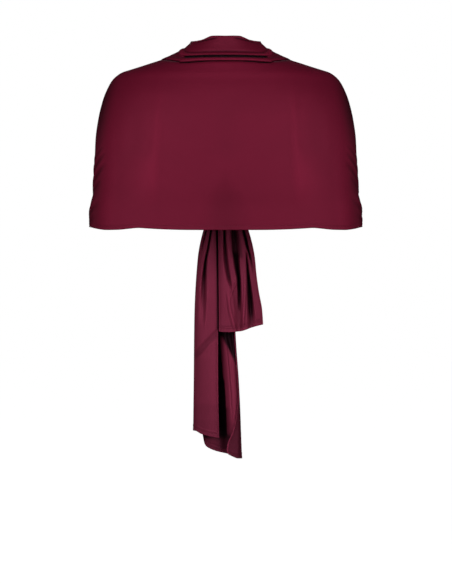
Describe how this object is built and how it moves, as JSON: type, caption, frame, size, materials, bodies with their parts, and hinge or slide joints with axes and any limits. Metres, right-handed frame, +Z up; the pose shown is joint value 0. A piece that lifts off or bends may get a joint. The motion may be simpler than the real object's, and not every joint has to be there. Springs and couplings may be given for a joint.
{
  "type": "evening stole",
  "caption": "Satin evening stole worn round the shoulders, folded over softly at the neck, gathered into a knot at the chest, with a long and a short hanging tail.",
  "frame": {"origin": "between the wearer's shoulders, at about the height where the cloth leaves the neck", "axes": "+Z up, the wearer faces -Y, +X is the wearer's left"},
  "size_m": [0.4778, 0.2443, 0.743],
  "materials": {
    "satin": "dark red satin with a soft sheen"
  },
  "bodies": {
    "root": {"back_panel": "satin", "neck_folds": "satin", "front_left": "satin", "front_right": "satin", "knot": "satin", "tail_long": "satin", "tail_short": "satin"}
  },
  "joints": []
}
